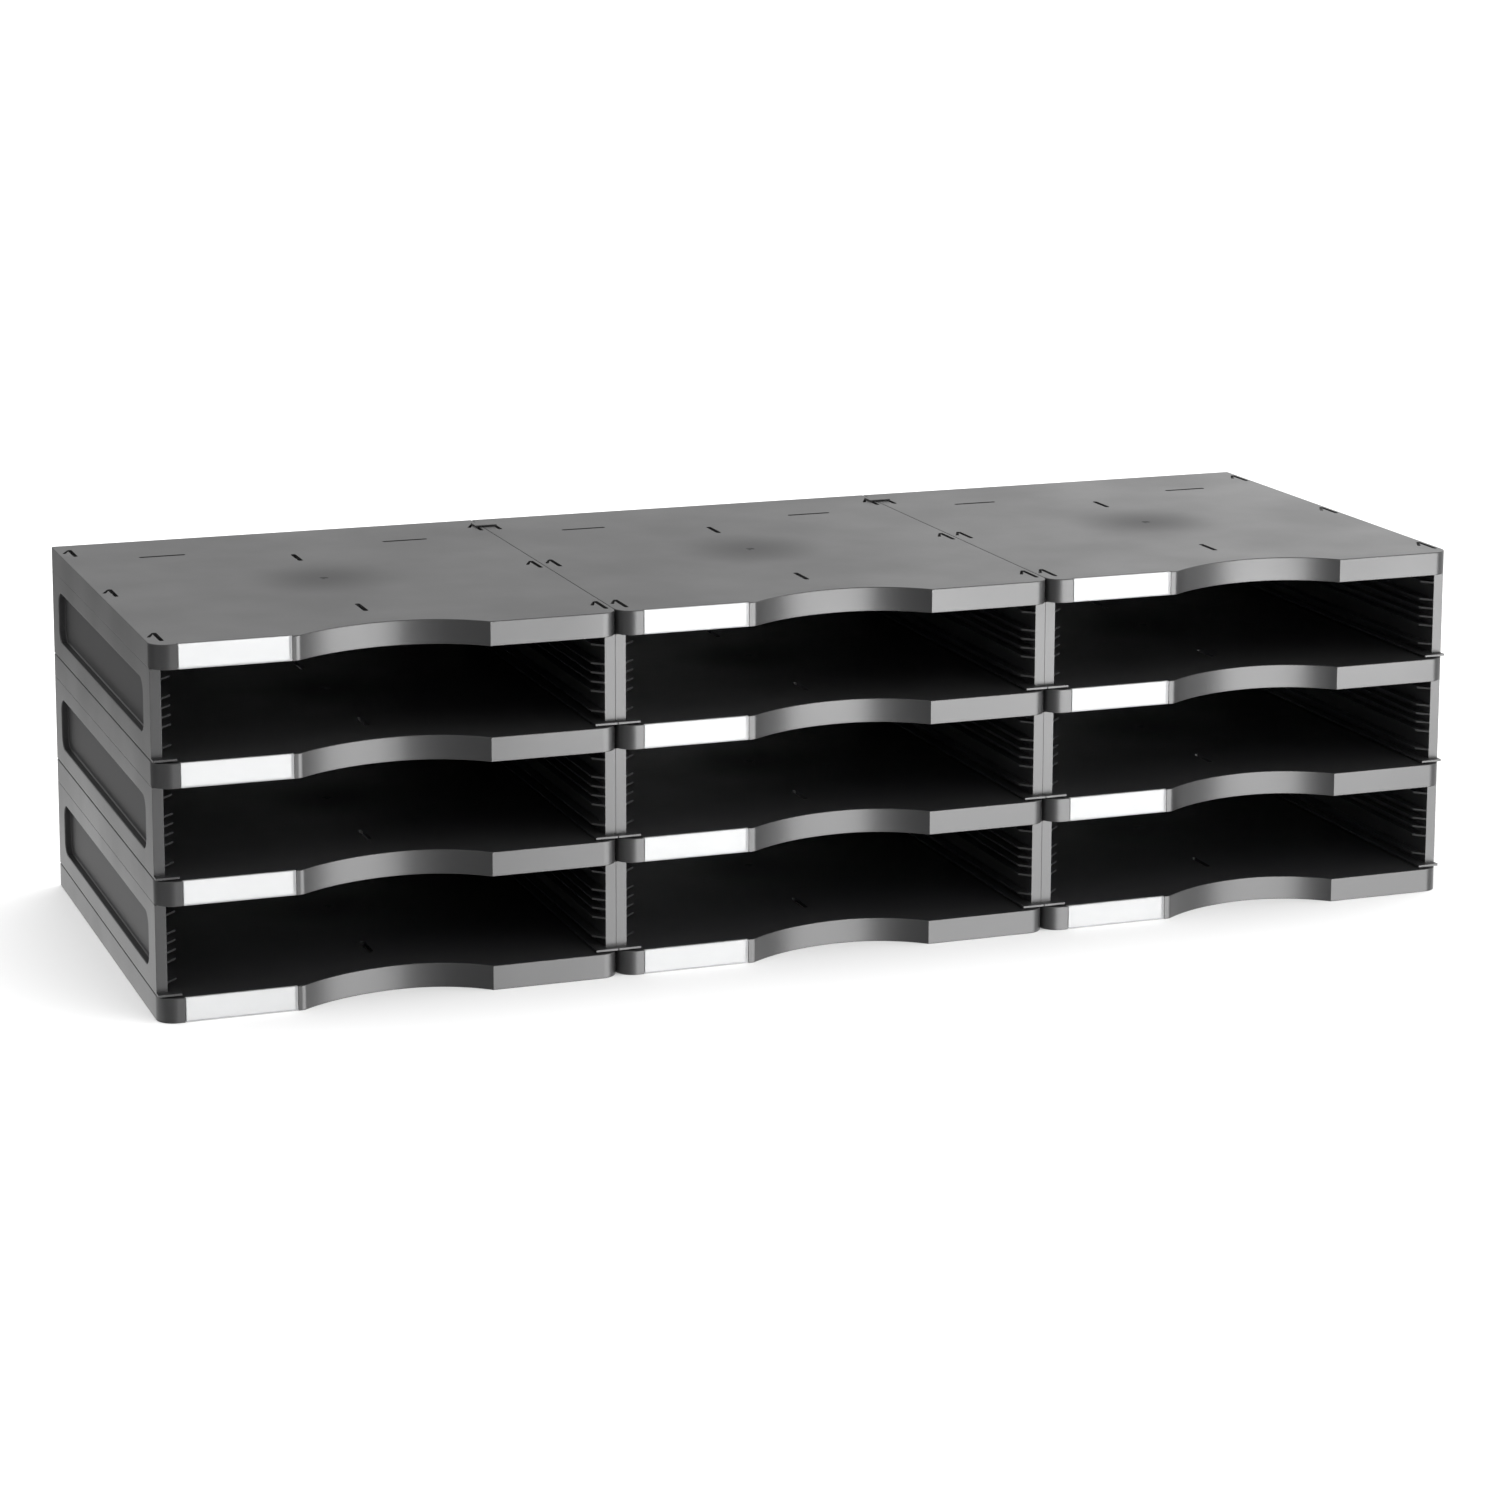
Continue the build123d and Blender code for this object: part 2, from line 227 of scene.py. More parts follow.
class StageLook(bpy.types.PropertyGroup):
    """Floor, lights and camera."""

    floor: colour("Floor", "Pale floor", (0.86, 0.86, 0.86))
    left_surround: brightness("Left surround", "Brightness of the surround on the left", 0.58)
    back_surround: brightness("Back surround", "Brightness of the surround behind the part", 0.80)
    right_surround: brightness("Right surround", "Brightness of the surround on the right", 1.36)
    overhead: brightness("Overhead", "Strength of the wide soft light overhead", 2.9)
    front_glow: brightness("Front glow", "Brightness of the front panel in the plastic's gloss", 12.0)
    side_glow: brightness("Side glow", "Brightness of the side card in the plastic's gloss", 1.15)
    camera_place: FloatVectorProperty(
        name="Camera place",
        description="Where the camera stands",
        default=(-0.9197, -2.5021, 0.7619),
        subtype="XYZ",
    )
    camera_aim: FloatVectorProperty(
        name="Camera aim",
        description="Direction that the camera looks in",
        default=(0.34005, 0.92538, -0.16748),
        subtype="DIRECTION",
    )
    camera_roll: FloatProperty(
        name="Camera roll",
        description="Turn about the line of sight",
        default=math.radians(0.146),
        subtype="ANGLE",
    )
    camera_lens: FloatProperty(
        name="Camera lens", description="Focal length in millimetres", default=94.96, min=1.0, unit="CAMERA"
    )
    camera_shift: FloatProperty(
        name="Camera shift", description="Upright lens shift, as a share of the picture", default=-0.2
    )


# Outlines in plan


def arc(centre, radius, start, end, steps):
    """Points of an arc from one angle to another, in degrees, both ends included."""
    x, y = centre
    turns = [math.radians(start + (end - start) * step / steps) for step in range(steps + 1)]
    return [Vector((x + radius * math.cos(turn), y + radius * math.sin(turn))) for turn in turns]


def rounded_rectangle(low, high, radius, steps=4):
    """A rectangle with rounded corners, anticlockwise."""
    (x0, y0), (x1, y1) = low, high
    return (
        arc((x1 - radius, y0 + radius), radius, -90, 0, steps)
        + arc((x1 - radius, y1 - radius), radius, 0, 90, steps)
        + arc((x0 + radius, y1 - radius), radius, 90, 180, steps)
        + arc((x0 + radius, y0 + radius), radius, 180, 270, steps)
    )


def moved_in(outline, distance):
    """The outline with each side moved to its left, corners mitred and folded sides closed up."""
    moved = []
    for before, here, after in zip(outline[-1:] + outline[:-1], outline, outline[1:] + outline[:1]):
        into = (here - before).normalized().orthogonal()
        out = (after - here).normalized().orthogonal()
        normal = (into + out).normalized()
        moved.append(here + normal * distance / normal.dot(into))
    for index, here in enumerate(outline):
        after = (index + 1) % len(outline)
        if (moved[after] - moved[index]).dot(outline[after] - here) < 0:
            middle = (moved[after] + moved[index]) / 2
            moved[index] = middle.copy()
            moved[after] = middle.copy()
    return moved


def plate_outline(sizes):
    """The shelf plate's outline, anticlockwise from the left end of its front edge."""

    def at(from_left, from_front):
        return Vector((LEFT + from_left, FRONT + from_front))

    left_corner = sizes.left_corner_radius
    right_corner = sizes.right_corner_radius
    back_corner = sizes.back_corner_radius
    seat_start = left_corner + sizes.label_margin
    seat_end = seat_start + sizes.label_length
    scoop_start = seat_end + sizes.label_lip
    deepest = scoop_start + sizes.scoop_left_run
    scoop_end = deepest + sizes.scoop_right_run
    run, depth, lead = sizes.scoop_left_run, sizes.scoop_depth, sizes.scoop_lead
    left_radius = (run**2 + depth**2) / (2 * depth) - lead
    right_radius = (sizes.scoop_right_run**2 + depth**2) / (2 * depth)
    turn = math.degrees(math.atan2(run, left_radius + lead - depth))
    right_turn = math.degrees(math.asin(sizes.scoop_right_run / right_radius))
    outline = [
        at(left_corner, 0),
        at(seat_start, 0),
        at(seat_start, sizes.label_depth),
        at(seat_end, sizes.label_depth),
        at(seat_end, 0),
    ]
    outline += arc(at(scoop_start, lead), lead, -90, -90 + turn, steps=10)
    outline += arc(at(deepest, depth - left_radius), left_radius, 90 + turn, 90, steps=28)[1:]
    outline += arc(at(deepest, depth - right_radius), right_radius, 90, 90 - right_turn, steps=26)[1:-1]
    outline.append(at(scoop_end, 0))
    outline += arc(at(PLATE_WIDTH - right_corner, right_corner), right_corner, -90, 0, steps=12)
    outline += arc((RIGHT - back_corner, REAR - back_corner), back_corner, 0, 90, steps=4)
    outline += arc((LEFT + back_corner, REAR - back_corner), back_corner, 90, 180, steps=4)
    outline += arc(at(left_corner, left_corner), left_corner, 180, 270, steps=12)[:-1]
    return outline


def slit_outline(centre, size, roundness=0.98):
    """A slit with nearly round ends, clockwise because it is a hole."""
    radius = min(size) / 2 * roundness
    low = Vector(centre) - Vector(size) / 2
    high = Vector(centre) + Vector(size) / 2
    return rounded_rectangle(low, high, radius, steps=3)[::-1]


def hook_outline(sizes, x, y):
    """A hook slot: a slit along the depth and a slanted leg that leaves its back end, clockwise."""
    half = sizes.slot_width / 2
    back = sizes.slot_length / 2
    root = Vector((-half, back - half))
    tip = Vector((-sizes.slot_leg_side, back - sizes.slot_leg_front))
    along = (tip - root).normalized()
    across = Vector((along.y, -along.x)) * half
    blunt, corner = half * 0.6, half * 0.2
    leg_start, leg_end = back - sizes.slot_width * 1.6, back - half * 0.5
    leg_half = across * 0.8
    nose = along * half * 0.5
    points = [
        (half, -back + half),
        (blunt, -back),
        (-blunt, -back),
        (-half, -back + half),
        (-half, leg_start),
        tip - leg_half,
        tip - leg_half / 2 + nose,
        tip + leg_half / 2 + nose,
        tip + leg_half,
        (-half, leg_end),
        (-corner, back),
        (half, back - blunt),
    ]
    return [Vector((x, y)) + Vector(point) for point in points]


def hook_places(sizes):
    """Where the middles of the hook slots lie along the depth."""
    middle_slot = (sizes.front_slot + sizes.back_slot) / 2
    return [FRONT + slot for slot in (sizes.front_slot, middle_slot, sizes.back_slot)]


# Shells skinned over outlines


def new_shell():
    """An empty mesh under construction, with layers that mark rubbed edges and matt fields."""
    bm = bmesh.new()
    for mark in ("rubbed", "matt"):
        bm.verts.layers.float.new(mark)
    return bm


def edge_steps(radius, face, towards, count=3):
    """Steps (inset, height, rubbed) over a rounded edge, from a face's height towards another height."""
    sign = 1 if towards > face else -1
    steps = []
    for number in range(count + 1):
        turn = math.pi / 2 * number / count
        drop = radius * (1 - math.cos(turn))
        steps.append((radius * (1 - math.sin(turn)), face + sign * drop, math.sin(2 * turn)))
    return steps


def held(steps, radius, past=0.6):
    """The steps with one more past their end, which keeps the wall after a rounded edge flat."""
    inset, height = steps[-1][:2]
    sign = 1 if height > steps[0][1] else -1
    return steps + [(inset, height + sign * radius * past, 0.0)]


def rounded_sides(radius, top, bottom, count=3):
    """Steps down the sides of a slab, over both of its rounded edges."""
    upper = held(edge_steps(radius, top, bottom, count), radius)
    lower = held(edge_steps(radius, bottom, top, count), radius)
    return upper + lower[::-1]


def add_ring(bm, outline, steps, place):
    """Skin a closed outline through its steps, and return the first and last loop of vertices."""
    rubbed_layer = bm.verts.layers.float["rubbed"]
    loops = []
    for inset, height, rubbed in steps:
        loop = []
        for point in moved_in(outline, inset):
            vert = bm.verts.new(place(point.x, point.y, height))
            vert[rubbed_layer] = rubbed
            loop.append(vert)
        loops.append(loop)
    for upper, lower in zip(loops, loops[1:]):
        for index in range(len(outline)):
            after = (index + 1) % len(outline)
            face = bm.faces.new((upper[index], lower[index], lower[after], upper[after]))
            face.smooth = True
    return loops[0], loops[-1]


def add_cap(bm, facing, outer, *holes):
    """Close the area inside a loop, less its holes, with flat faces that look along facing."""
    loops = [outer, *holes]
    verts = [vert for loop in loops for vert in loop]
    for corners in tessellate_polygon([[vert.co for vert in loop] for loop in loops]):
        face = bm.faces.new([verts[corner] for corner in corners])
        face.normal_update()
        if face.normal.dot(facing) < 0:
            face.normal_flip()


def in_plan(u, v, w):
    """Outline in plan, height up."""
    return Vector((u, v, w))


def in_side(u, v, w):
    """Outline in the side view, height along X."""
    return Vector((w, u, v))


def in_front(u, v, w):
    """Outline in the front view, height towards the front."""
    return Vector((u, -w, v))


def add_slab(bm, outline, bottom, top, radius):
    """A slab with rounded edges over an outline in plan."""
    upper, lower = add_ring(bm, outline, rounded_sides(radius, top, bottom, count=2), in_plan)
    add_cap(bm, UP, upper)
    add_cap(bm, -UP, lower)


def add_block(bm, low, high, radius):
    """A block with rounded edges between two corners."""
    outline = rounded_rectangle(low[:2], high[:2], radius, steps=3)
    add_slab(bm, outline, low[2], high[2], radius)


def add_framed_panel(bm, outline, field, near, far, recess, radius, rim_radius, place):
    """A slab between two heights, near above far, with a field sunk into its far side."""
    towards = place(0, 0, 1) - place(0, 0, 0)
    near_loop, far_loop = add_ring(bm, outline, rounded_sides(radius, near, far), place)
    floor = far + recess
    rim_steps = held(edge_steps(rim_radius, far, near), rim_radius)
    rim = [(-inset, height, rubbed) for inset, height, rubbed in rim_steps]
    corner = [(0.0, floor - rim_radius, 0.0), (rim_radius, floor, 0.0)]
    rim_loop, floor_loop = add_ring(bm, field, rim + corner, place)
    matt_layer = bm.verts.layers.float["matt"]
    for vert in floor_loop:
        vert[matt_layer] = 1.0
    add_cap(bm, towards, near_loop)
    add_cap(bm, -towards, far_loop, rim_loop)
    add_cap(bm, -towards, floor_loop)


def set_face_normals(mesh):
    """Shade every corner by the faces round it within the smooth angle, the large ones the most."""
    faces_at = [[] for vert in mesh.vertices]
    for face in mesh.polygons:
        for index in face.vertices:
            faces_at[index].append((face.normal.copy(), face.area))
    limit = math.cos(SMOOTH_ANGLE)
    normals = []
    for face in mesh.polygons:
        for index in face.vertices:
            near = [normal * area for normal, area in faces_at[index] if normal.dot(face.normal) > limit]
            normals.append(sum(near, Vector()).normalized())
    mesh.normals_split_custom_set(normals)


def finished_mesh(bm, name):
    """Merge doubled points and turn the shell into a mesh."""
    bmesh.ops.remove_doubles(bm, verts=bm.verts, dist=WELD_DISTANCE)
    bmesh.ops.dissolve_degenerate(bm, edges=bm.edges, dist=WELD_DISTANCE)
    mesh = bpy.data.meshes.new(name)
    bm.to_mesh(mesh)
    bm.free()
    set_face_normals(mesh)
    return mesh


def add_piece(name, mesh, material, body, slot, *nodes):
    """Put a finished mesh into the scene in place of CAD nodes, riding on a body."""
    mesh.materials.clear()
    mesh.materials.append(material)
    piece = bpy.data.objects.new(name, mesh)
    bpy.context.scene.collection.objects.link(piece)
    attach(piece, body)
    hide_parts(*nodes)


def moved_copy(mesh, name, x, z):
    """A copy of a mesh at another place along the row and up the stack."""
    copy = mesh.copy()
    copy.name = name
    copy.transform(Matrix.Translation((x, 0, z)))
    return copy


# Node trees


def wire(tree, *links):
    """Join sockets, given as (node, output name, node, input name)."""
    for source, output, target, socket in links:
        tree.links.new(source.outputs[output], target.inputs[socket])


def add_node(tree, kind, **settings):
    """A node of this kind, its properties and unlinked inputs set by name."""
    node = tree.nodes.new(kind)
    for name, value in settings.items():
        if hasattr(node, name):
            setattr(node, name, value)
        else:
            node.inputs[name.replace("_", " ").title()].default_value = value
    return node


def new_tree(name, *inputs):
    """A geometry node group with a geometry in and out and these named inputs: (name, socket type)."""
    tree = bpy.data.node_groups.new(name, "GeometryNodeTree")
    tree.interface.new_socket(name="Geometry", in_out="INPUT", socket_type="NodeSocketGeometry")
    tree.interface.new_socket(name="Geometry", in_out="OUTPUT", socket_type="NodeSocketGeometry")
    for label, kind in inputs:
        tree.interface.new_socket(name=label, in_out="INPUT", socket_type=kind)
    return tree, tree.nodes.new("NodeGroupInput"), tree.nodes.new("NodeGroupOutput")


def end_tree(tree, given, copies, result):
    """Turn the copies into plain mesh in the given material, and hand it out."""
    real = tree.nodes.new("GeometryNodeRealizeInstances")
    painted = tree.nodes.new("GeometryNodeSetMaterial")
    wire(
        tree,
        (copies, "Instances", real, "Geometry"),
        (real, "Geometry", painted, "Geometry"),
        (given, "Material", painted, "Material"),
        (painted, "Geometry", result, "Geometry"),
    )


def ledge_tree():
    """Guide ledges: a strip with one slanted corner, set on every point that comes in."""
    tree, given, result = new_tree(
        "guide_ledges",
        ("Reach", "NodeSocketFloat"),
        ("Length", "NodeSocketFloat"),
        ("Thickness", "NodeSocketFloat"),
        ("Lead", "NodeSocketFloat"),
        ("Material", "NodeSocketMaterial"),
    )
    strip = add_node(tree, "GeometryNodeCurvePrimitiveQuadrilateral", mode="RECTANGLE")
    position = tree.nodes.new("GeometryNodeInputPosition")
    split = tree.nodes.new("ShaderNodeSeparateXYZ")
    inner = add_node(tree, "ShaderNodeMath", operation="GREATER_THAN")
    front = add_node(tree, "ShaderNodeMath", operation="LESS_THAN")
    both = add_node(tree, "ShaderNodeMath", operation="MULTIPLY")
    radius = add_node(tree, "ShaderNodeMath", operation="MULTIPLY")
    fillet = add_node(tree, "GeometryNodeFilletCurve", mode="POLY", count=1)
    fill = add_node(tree, "GeometryNodeFillCurve", mode="NGONS")
    raised = add_node(tree, "GeometryNodeExtrudeMesh", mode="FACES", individual=False)
    under = tree.nodes.new("GeometryNodeFlipFaces")
    joined = tree.nodes.new("GeometryNodeJoinGeometry")
    welded = add_node(tree, "GeometryNodeMergeByDistance", distance=1e-6)
    copies = tree.nodes.new("GeometryNodeInstanceOnPoints")
    for test in (inner, front):
        test.inputs[1].default_value = 0.0
    wire(
        tree,
        (given, "Reach", strip, "Width"),
        (given, "Length", strip, "Height"),
        (position, "Position", split, "Vector"),
        (split, "X", inner, 0),
        (split, "Y", front, 0),
        (inner, 0, both, 0),
        (front, 0, both, 1),
        (both, 0, radius, 0),
        (given, "Lead", radius, 1),
        (strip, "Curve", fillet, "Curve"),
        (radius, 0, fillet, "Radius"),
        (fillet, "Curve", fill, "Curve"),
        (fill, "Mesh", raised, "Mesh"),
        (given, "Thickness", raised, "Offset Scale"),
        (fill, "Mesh", under, "Mesh"),
        (raised, "Mesh", joined, "Geometry"),
        (under, "Mesh", joined, "Geometry"),
        (joined, "Geometry", welded, "Geometry"),
        (given, "Geometry", copies, "Points"),
        (welded, "Geometry", copies, "Instance"),
    )
    end_tree(tree, given, copies, result)
    return tree


def stack_tree():
    """Copies of what comes in, one above the other."""
    tree, given, result = new_tree(
        "level_stack",
        ("Levels", "NodeSocketInt"),
        ("Pitch", "NodeSocketFloat"),
        ("Material", "NodeSocketMaterial"),
    )
    rise = tree.nodes.new("ShaderNodeCombineXYZ")
    line = add_node(tree, "GeometryNodeMeshLine", mode="OFFSET")
    copies = tree.nodes.new("GeometryNodeInstanceOnPoints")
    wire(
        tree,
        (given, "Pitch", rise, "Z"),
        (given, "Levels", line, "Count"),
        (rise, "Vector", line, "Offset"),
        (line, "Mesh", copies, "Points"),
        (given, "Geometry", copies, "Instance"),
    )
    end_tree(tree, given, copies, result)
    return tree


def grown(mesh, tree, edge_radius=0.0, **values):
    """The plain mesh that a node tree makes of a mesh, its inputs given by name."""
    carrier = bpy.data.objects.new("carrier", mesh)
    bpy.context.scene.collection.objects.link(carrier)
    modifier = carrier.modifiers.new("tree", "NODES")
    modifier.node_group = tree
    for item in tree.interface.items_tree:
        if item.in_out == "INPUT" and item.name.lower() in values:
            modifier[item.identifier] = values[item.name.lower()]
    if edge_radius:
        bevel = carrier.modifiers.new("edges", "BEVEL")
        bevel.width = edge_radius
        bevel.segments = 2
        bevel.limit_method = "ANGLE"
        bevel.angle_limit = math.radians(50)
    depsgraph = bpy.context.evaluated_depsgraph_get()
    made = bpy.data.meshes.new_from_object(carrier.evaluated_get(depsgraph), depsgraph=depsgraph)
    bpy.data.objects.remove(carrier)
    return made


# Finishes


def new_material(name):
    """An empty node material with its shader and object coordinates."""
    material = bpy.data.materials.new(name)
    material.use_nodes = True
    tree = material.node_tree
    tree.nodes.clear()
    shader = tree.nodes.new("ShaderNodeBsdfPrincipled")
    output = tree.nodes.new("ShaderNodeOutputMaterial")
    place = tree.nodes.new("ShaderNodeTexCoord")
    tree.links.new(shader.outputs["BSDF"], output.inputs["Surface"])
    return material, tree, shader, place


def noise(tree, place, scale, detail=2.0, stretch=(1, 1, 1)):
    """Noise in object coordinates, in lumps per metre."""
    mapping = add_node(tree, "ShaderNodeMapping", scale=stretch)
    texture = add_node(tree, "ShaderNodeTexNoise", scale=scale, detail=detail)
    wire(tree, (place, "Object", mapping, "Vector"), (mapping, "Vector", texture, "Vector"))
    return texture


def shaded(tint, factor):
    """A colour made darker or lighter by a factor."""
    return [factor * part for part in tint]


def mixed(tree, factor, low, high):
    """A colour mixed between two by a node's first output."""
    mix = add_node(tree, "ShaderNodeMix", data_type="RGBA")
    mix.inputs["A"].default_value = (*low, 1)
    mix.inputs["B"].default_value = (*high, 1)
    tree.links.new(factor.outputs[0], mix.inputs["Factor"])
    return mix


def ranged(tree, source, low, high, start=0.0, end=1.0, output=0):
    """A node's output mapped from one range to another."""
    node = add_node(tree, "ShaderNodeMapRange", from_min=start, from_max=end, to_min=low, to_max=high)
    wire(tree, (source, output, node, "Value"))
    return node


def gate_distance(tree, place):
    """How far a point lies from the middle of its own column of plates, in plan."""
    split = tree.nodes.new("ShaderNodeSeparateXYZ")
    column = add_node(tree, "ShaderNodeMath", operation="WRAP")
    column.inputs[1].default_value = COLUMN_PITCH / 2
    column.inputs[2].default_value = -COLUMN_PITCH / 2
    plan = tree.nodes.new("ShaderNodeCombineXYZ")
    distance = add_node(tree, "ShaderNodeVectorMath", operation="LENGTH")
    wire(
        tree,
        (place, "Object", split, "Vector"),
        (split, "X", column, 0),
        (column, 0, plan, "X"),
        (split, "Y", plan, "Y"),
        (plan, "Vector", distance, 0),
    )
    return distance


def moulded_plastic(look):
    """Dark satin plastic: a fine moulded grain, a dull blush round each moulding mark and rubbed edges."""
    material, tree, shader, place = new_material("moulded_plastic")
    clouds = noise(tree, place, scale=14.0, detail=3.0)
    grain = noise(tree, place, scale=1600.0)
    rubbed = add_node(tree, "ShaderNodeAttribute", attribute_name="rubbed")
    matt = add_node(tree, "ShaderNodeAttribute", attribute_name="matt")
    scuffs = noise(tree, place, scale=220.0, detail=3.0)
    worn = add_node(tree, "ShaderNodeMath", operation="MULTIPLY", use_clamp=True)
    body = mixed(tree, clouds, shaded(look.plastic, 0.86), shaded(look.plastic, 1.14))
    colour_mix = add_node(tree, "ShaderNodeMix", data_type="RGBA")
    colour_mix.inputs["B"].default_value = (*look.plastic_worn, 1)
    wire(
        tree,
        (rubbed, "Fac", worn, 0),
        (scuffs, 0, worn, 1),
        (body, "Result", colour_mix, "A"),
        (worn, 0, colour_mix, "Factor"),
        (colour_mix, "Result", shader, "Base Color"),
    )
    rough, spread = look.plastic_roughness, 0.03
    satin = ranged(tree, clouds, rough - spread, rough + spread, start=0.3, end=0.7)
    gate = gate_distance(tree, place)
    blush = ranged(tree, gate, low=0.8, high=0.0, end=look.blush_radius, output="Value")
    blush.interpolation_type = "SMOOTHSTEP"
    dull = add_node(tree, "ShaderNodeMath", operation="MAXIMUM")
    gloss = add_node(tree, "ShaderNodeMix", data_type="FLOAT")
    gloss.inputs["B"].default_value = look.matt_roughness
    bump = add_node(tree, "ShaderNodeBump", strength=0.12, distance=0.0002)
    wire(
        tree,
        (blush, "Result", dull, 0),
        (matt, "Fac", dull, 1),
        (dull, 0, gloss, "Factor"),
        (satin, "Result", gloss, "A"),
        (gloss, "Result", shader, "Roughness"),
        (grain, 0, bump, "Height"),
        (bump, "Normal", shader, "Normal"),
    )
    shader.inputs["IOR"].default_value = 1.5
    return material


def card_stock(look):
    """White card with faint fibres."""
    material, tree, shader, place = new_material("card_stock")
    fibres = noise(tree, place, scale=900.0, detail=4.0, stretch=(0.35, 1, 1))
    tone = mixed(tree, fibres, look.card_shade, look.card)
    bump = add_node(tree, "ShaderNodeBump", strength=0.1, distance=0.0001)
    wire(
        tree,
        (tone, "Result", shader, "Base Color"),
        (fibres, 0, bump, "Height"),
        (bump, "Normal", shader, "Normal"),
    )
    shader.inputs["Roughness"].default_value = 0.75
    return material


def clear_plastic(look):
    """Clear window plastic: see-through face on, glossy at a slant, with faint flow lines."""
    material, tree, shader, place = new_material("clear_plastic")
    slant = add_node(tree, "ShaderNodeLayerWeight", blend=0.35)
    flow = noise(tree, place, scale=60.0, stretch=(1, 1, 6))
    tint = mixed(tree, flow, shaded(look.clear, 0.94), look.clear)
    cover = ranged(tree, slant, low=0.10, high=0.75)
    wire(
        tree,
        (tint, "Result", shader, "Base Color"),
        (cover, "Result", shader, "Alpha"),
    )
    shader.inputs["Roughness"].default_value = 0.06
    shader.inputs["IOR"].default_value = 1.49
    return material


def finish_named(name, maker):
    """A finish, made the first time that it is asked for."""
    return bpy.data.materials.get(name) or maker(bpy.context.scene.organizer_finish)


# Pieces


def plate_mesh(sizes):
    """One shelf plate at the middle of the bottom level."""
    bm = new_shell()
    outline = plate_outline(sizes)
    edge = sizes.edge_radius
    ceiling = SKIRT_HEIGHT - sizes.top_thickness
    steps = rounded_sides(edge, SKIRT_HEIGHT, 0)
    steps += [(sizes.skirt_wall, 0.0, 0.0), (sizes.skirt_wall, ceiling, 0.0)]
    top_loop, ceiling_loop = add_ring(bm, outline, steps, in_plan)

    holes = []
    for x in (LEFT + sizes.left_slot, RIGHT - sizes.right_slot):
        holes += [hook_outline(sizes, x, y) for y in hook_places(sizes)]
    along = (sizes.slit_width, sizes.centre_slit_length)
    across = (sizes.back_slit_length, sizes.slit_width)
    holes += [slit_outline((0, y), along) for y in (FRONT + sizes.front_slit, REAR - sizes.rear_slit)]
    back_slit = REAR - sizes.back_slit
    holes += [slit_outline((side * sizes.back_slit_offset, back_slit), across) for side in (-1, 1)]
    hole_edge = edge * 0.3
    hole_rim = edge_steps(hole_edge, SKIRT_HEIGHT, 0, count=2)
    hole_steps = held(hole_rim, hole_edge) + [(0.0, ceiling, 0.0)]
    hole_loops = [add_ring(bm, hole, hole_steps, in_plan) for hole in holes]

    gate = arc((0, 0), sizes.gate_radius, 360, 0, steps=20)[:-1]
    gate_floor = SKIRT_HEIGHT - sizes.gate_depth
    dish, nub = sizes.gate_radius * 0.45, sizes.gate_radius * 0.8
    gate_steps = [
        (hole_edge, SKIRT_HEIGHT, 0.0),
        (0.0, SKIRT_HEIGHT - hole_edge, 0.0),
        (-dish, gate_floor, 0.0),
        (-nub, SKIRT_HEIGHT, 0.0),
    ]
    gate_rim, gate_nub = add_ring(bm, gate, gate_steps, in_plan)
    add_cap(bm, UP, gate_nub)
    add_cap(bm, UP, top_loop, gate_rim, *[rim for rim, bottom in hole_loops])
    add_cap(bm, -UP, ceiling_loop, *[bottom for rim, bottom in hole_loops])

    for number in range(sizes.rib_count):
        y = FRONT + (REAR - FRONT) * (number + 1) / (sizes.rib_count + 1)
        inside = PLATE_WIDTH / 2 - sizes.skirt_wall
        low = (-inside, y - sizes.rib_wall / 2, ceiling - sizes.rib_height)
        high = (inside, y + sizes.rib_wall / 2, ceiling)
        add_block(bm, low, high, hole_edge)
    return finished_mesh(bm, "shelf_plate")


def add_ledges(bm, sizes, inner, front, back, plastic, tree):
    """The guide ledges on a wall's inner face, from one place along the depth to another."""
    middle = MOUTH_HEIGHT / 2 + sizes.guide_lift
    heights = [middle + side * gap for gap in (sizes.guide_near, sizes.guide_far) for side in (-1, 1)]
    heights += [sizes.lowest_guide, MOUTH_HEIGHT - sizes.highest_guide_drop]
    sunk, ledge_edge = sizes.edge_radius * 2, sizes.edge_radius * 0.3
    across = inner + (sizes.guide_reach - sunk) / 2
    centre = Vector((across, (front + back) / 2, -sizes.guide_thickness / 2))
    points = bpy.data.meshes.new("ledge_places")
    points.from_pydata([centre + Vector((0, 0, height)) for height in heights], [], [])
    ledges = grown(
        points,
        tree,
        edge_radius=ledge_edge,
        reach=sizes.guide_reach + sunk,
        length=back - front,
        thickness=sizes.guide_thickness,
        lead=sizes.guide_lead,
        material=plastic,
    )
    bm.from_mesh(ledges)


def add_foot(bm, sizes, inner, front, back):
    """A wall's foot flange with its toe in front of the wall, and the pad under it."""
    edge = sizes.edge_radius
    sunk, pad_edge = edge * 2, edge * 0.5
    outer, toe_front = WALL_LOW.xy
    far_side = WALL_HIGH.x
    toe_side = outer + edge * 0.25
    outline = [
        (toe_side + sizes.toe_corner, toe_front),
        (far_side, toe_front),
        (far_side, back),
        (inner - sunk, back),
        (inner - sunk, front + sunk),
        (toe_side, front + sunk),
        (toe_side, toe_front + sizes.toe_corner),
    ]
    bottom, margin = sizes.foot_gap, sizes.pad_margin
    add_slab(bm, [Vector(corner) for corner in outline], bottom, bottom + sizes.foot_thickness, edge)
    pad_low = (outer + margin, front + margin, 0)
    add_block(bm, pad_low, (far_side - margin, back, bottom + edge), pad_edge)


